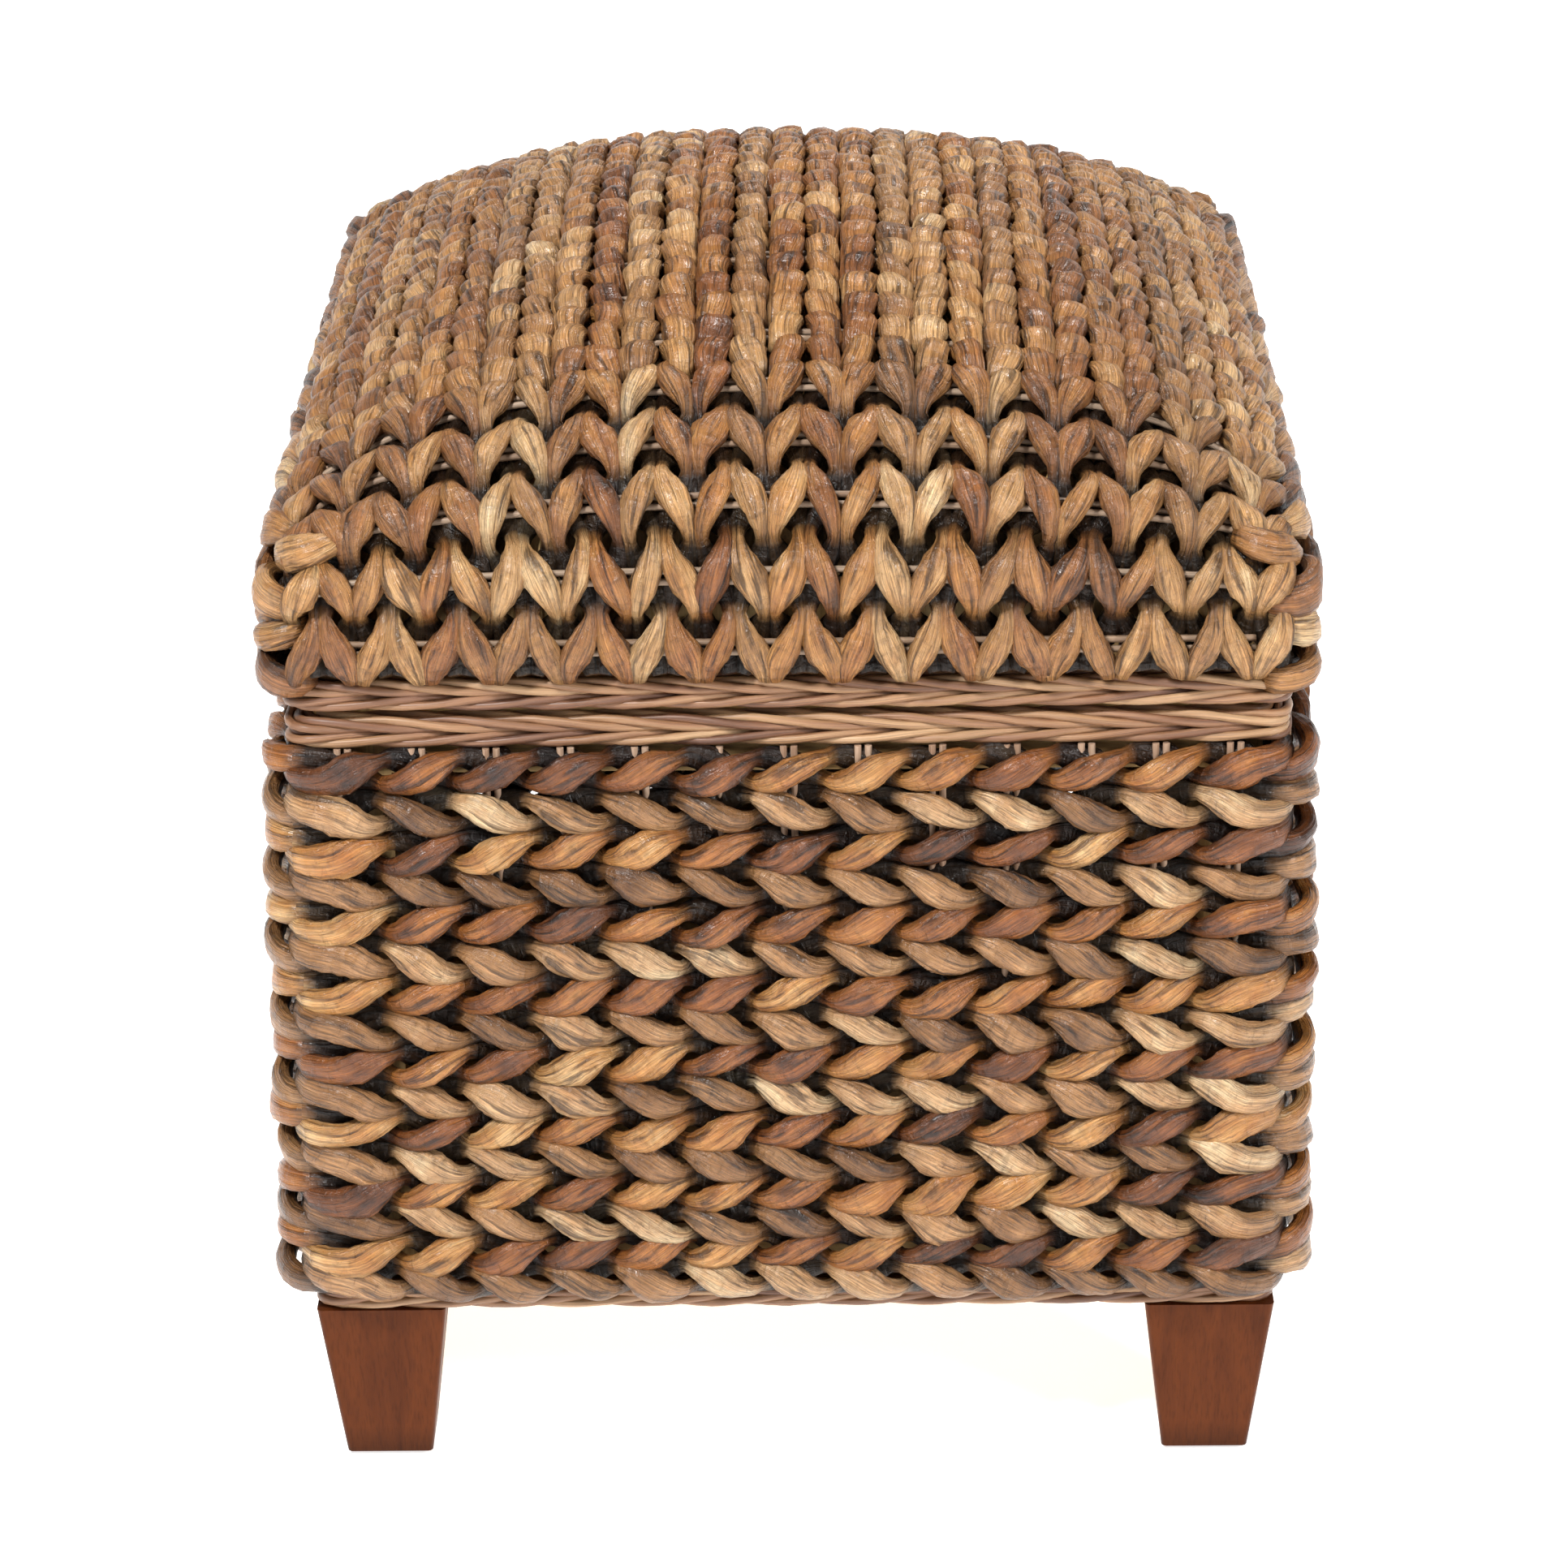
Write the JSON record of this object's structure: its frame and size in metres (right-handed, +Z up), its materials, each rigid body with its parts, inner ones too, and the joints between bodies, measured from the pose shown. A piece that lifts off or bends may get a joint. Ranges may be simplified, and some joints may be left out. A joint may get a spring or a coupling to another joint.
{
  "type": "storage ottoman",
  "caption": "Woven storage ottoman with a hinged domed lid, twined rope over cane stakes, braided cane borders and tapered wooden legs.",
  "frame": {"origin": "centre of the footprint on the floor, at the underside of the foot glides", "axes": "+X to the right seen from the front, +Y from the front to the hinged back edge, +Z up"},
  "size_m": [0.457, 0.508, 0.54],
  "materials": {
    "leaf_rope": "lacquered twisted dried leaf, satin",
    "rattan_cane": "lacquered round rattan core, satin",
    "stained_hardwood": "red-brown stain, satin lacquer",
    "frame_wood": "planed, unfinished",
    "plywood": "sanded plywood",
    "zinc_steel": "zinc plated",
    "bumper_rubber": "matte black",
    "glide_plastic": "moulded, matte"
  },
  "bodies": {
    "box": {"leg_front_left": "stained_hardwood", "post_front_left": "frame_wood", "leg_front_right": "stained_hardwood", "post_front_right": "frame_wood", "leg_back_left": "stained_hardwood", "post_back_left": "frame_wood", "leg_back_right": "stained_hardwood", "post_back_right": "frame_wood", "rail_top_front": "frame_wood", "rail_bottom_front": "frame_wood", "weave_front": "leaf_rope", "stakes_front": "rattan_cane", "braid_base_front": "rattan_cane", "braid_top_front": "rattan_cane", "rail_top_back": "frame_wood", "rail_bottom_back": "frame_wood", "weave_back": "leaf_rope", "stakes_back": "rattan_cane", "braid_base_back": "rattan_cane", "braid_top_back": "rattan_cane", "rail_top_left": "frame_wood", "rail_bottom_left": "frame_wood", "weave_left": "leaf_rope", "stakes_left": "rattan_cane", "braid_base_left": "rattan_cane", "braid_top_left": "rattan_cane", "rail_top_right": "frame_wood", "rail_bottom_right": "frame_wood", "weave_right": "leaf_rope", "stakes_right": "rattan_cane", "braid_base_right": "rattan_cane", "braid_top_right": "rattan_cane", "foot_glides": "glide_plastic", "hanger_bolts": "zinc_steel", "floor_panel": "plywood", "lid_bumpers": "bumper_rubber", "hinge_leaves_body": "zinc_steel", "hinge_pins": "zinc_steel", "stay_plates_body": "zinc_steel", "screws_body": "zinc_steel"},
    "lid": {"lid_rail_front": "frame_wood", "braid_lid_front": "rattan_cane", "lid_rail_back": "frame_wood", "braid_lid_back": "rattan_cane", "lid_rail_left": "frame_wood", "braid_lid_left": "rattan_cane", "lid_rail_right": "frame_wood", "braid_lid_right": "rattan_cane", "lid_liner": "plywood", "lid_ribs": "frame_wood", "stakes_lid": "rattan_cane", "weave_lid": "leaf_rope", "weave_lid_inner": "leaf_rope", "hinge_leaves_lid": "zinc_steel", "screws_lid": "zinc_steel", "stay_brackets_lid": "zinc_steel"},
    "stay_lower_left": {"stay_lower_left": "zinc_steel"},
    "stay_lower_right": {"stay_lower_right": "zinc_steel"},
    "stay_upper_left": {"stay_upper_left": "zinc_steel"},
    "stay_upper_right": {"stay_upper_right": "zinc_steel"}
  },
  "joints": [
    {"name": "lid_hinge", "type": "hinge", "parent": "box", "child": "lid", "pos_m": [0, 0.247, 0.3725], "axis": [-1, 0, 0], "range_deg": [0, 95]},
    {"name": "stay_lower_left_pivot", "type": "hinge", "parent": "box", "child": "stay_lower_left", "pos_m": [0, 0.177, 0.3525], "axis": [-1, 0, 0], "range_deg": [0, 95]},
    {"name": "stay_elbow_left", "type": "hinge", "parent": "stay_lower_left", "child": "stay_upper_left", "pos_m": [0, 0.067, 0.3425], "axis": [-1, 0, 0], "range_deg": [-95, 0]},
    {"name": "stay_lower_right_pivot", "type": "hinge", "parent": "box", "child": "stay_lower_right", "pos_m": [0, 0.177, 0.3525], "axis": [-1, 0, 0], "range_deg": [0, 95]},
    {"name": "stay_elbow_right", "type": "hinge", "parent": "stay_lower_right", "child": "stay_upper_right", "pos_m": [0, 0.067, 0.3425], "axis": [-1, 0, 0], "range_deg": [-95, 0]}
  ],
  "couplings": [
    {"joint": "stay_lower_left_pivot", "follows": "lid_hinge", "ratio": 1},
    {"joint": "stay_elbow_left", "follows": "lid_hinge", "ratio": -1},
    {"joint": "stay_lower_right_pivot", "follows": "lid_hinge", "ratio": 1},
    {"joint": "stay_elbow_right", "follows": "lid_hinge", "ratio": -1}
  ]
}
